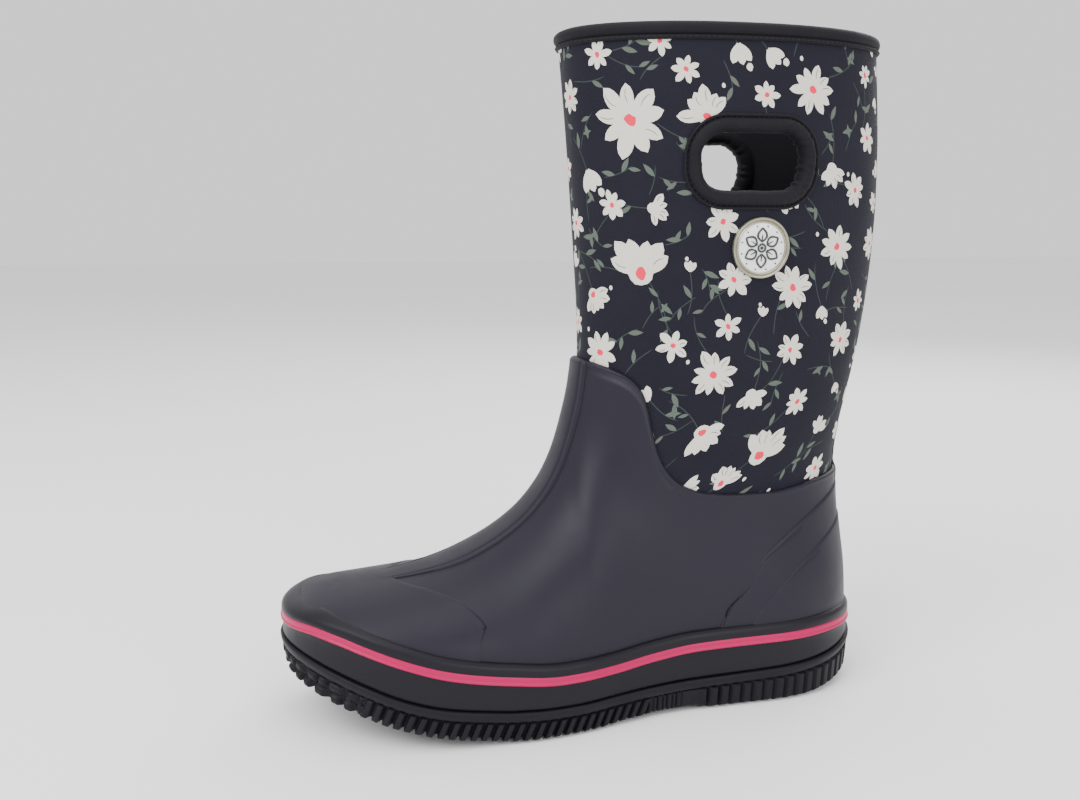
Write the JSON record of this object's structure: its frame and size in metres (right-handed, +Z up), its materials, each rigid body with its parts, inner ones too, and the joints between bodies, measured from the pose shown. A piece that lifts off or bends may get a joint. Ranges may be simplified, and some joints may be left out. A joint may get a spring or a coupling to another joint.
{
  "type": "rain boot",
  "caption": "Knee-low rain boot: printed neoprene shaft with pull handles and badge, rubber foot with a coloured stripe, lugged outsole.",
  "frame": {"origin": "centre of the boot's box at the ground plane under the tread", "axes": "+Z up the shaft, -Y towards the toe, +Y towards the heel, +X towards the wearer's left (outer side)"},
  "size_m": [0.1116, 0.3029, 0.325],
  "materials": {
    "outsole_rubber": "matte",
    "upper_rubber": "satin",
    "stripe_rubber": "satin",
    "printed_neoprene": "matte knit, floral print",
    "binding_fabric": "matte",
    "badge_metal": "satin",
    "badge_enamel": "gloss",
    "badge_ink": "gloss",
    "plain_neoprene": "matte knit",
    "insole_fabric": "matte",
    "board": "matte fibre board",
    "sponge": "matte",
    "shank_steel": "satin",
    "stiffener": "matte"
  },
  "bodies": {
    "root": {"outsole": "outsole_rubber", "foxing_wall": "upper_rubber", "foxing_stripe": "stripe_rubber", "foxing_bead": "upper_rubber", "rubber_upper": "upper_rubber", "instep_band": "upper_rubber", "toe_cap": "upper_rubber", "heel_counter_outer_lateral": "upper_rubber", "heel_counter_outer_medial": "upper_rubber", "heel_counter_inner_lateral": "upper_rubber", "heel_counter_inner_medial": "upper_rubber", "back_stay": "upper_rubber", "neoprene_shaft": "printed_neoprene", "back_seam_tape": "binding_fabric", "collar_binding": "binding_fabric", "handle_binding_lateral": "binding_fabric", "handle_binding_medial": "binding_fabric", "badge_bezel": "badge_metal", "badge_face": "badge_enamel", "badge_motif": "badge_ink", "neoprene_sock": "plain_neoprene", "sock_sole": "plain_neoprene", "insole": "insole_fabric", "lasting_board": "board", "sponge_midsole": "sponge", "shank": "shank_steel", "toe_stiffener": "stiffener", "heel_stiffener": "stiffener"}
  },
  "joints": []
}
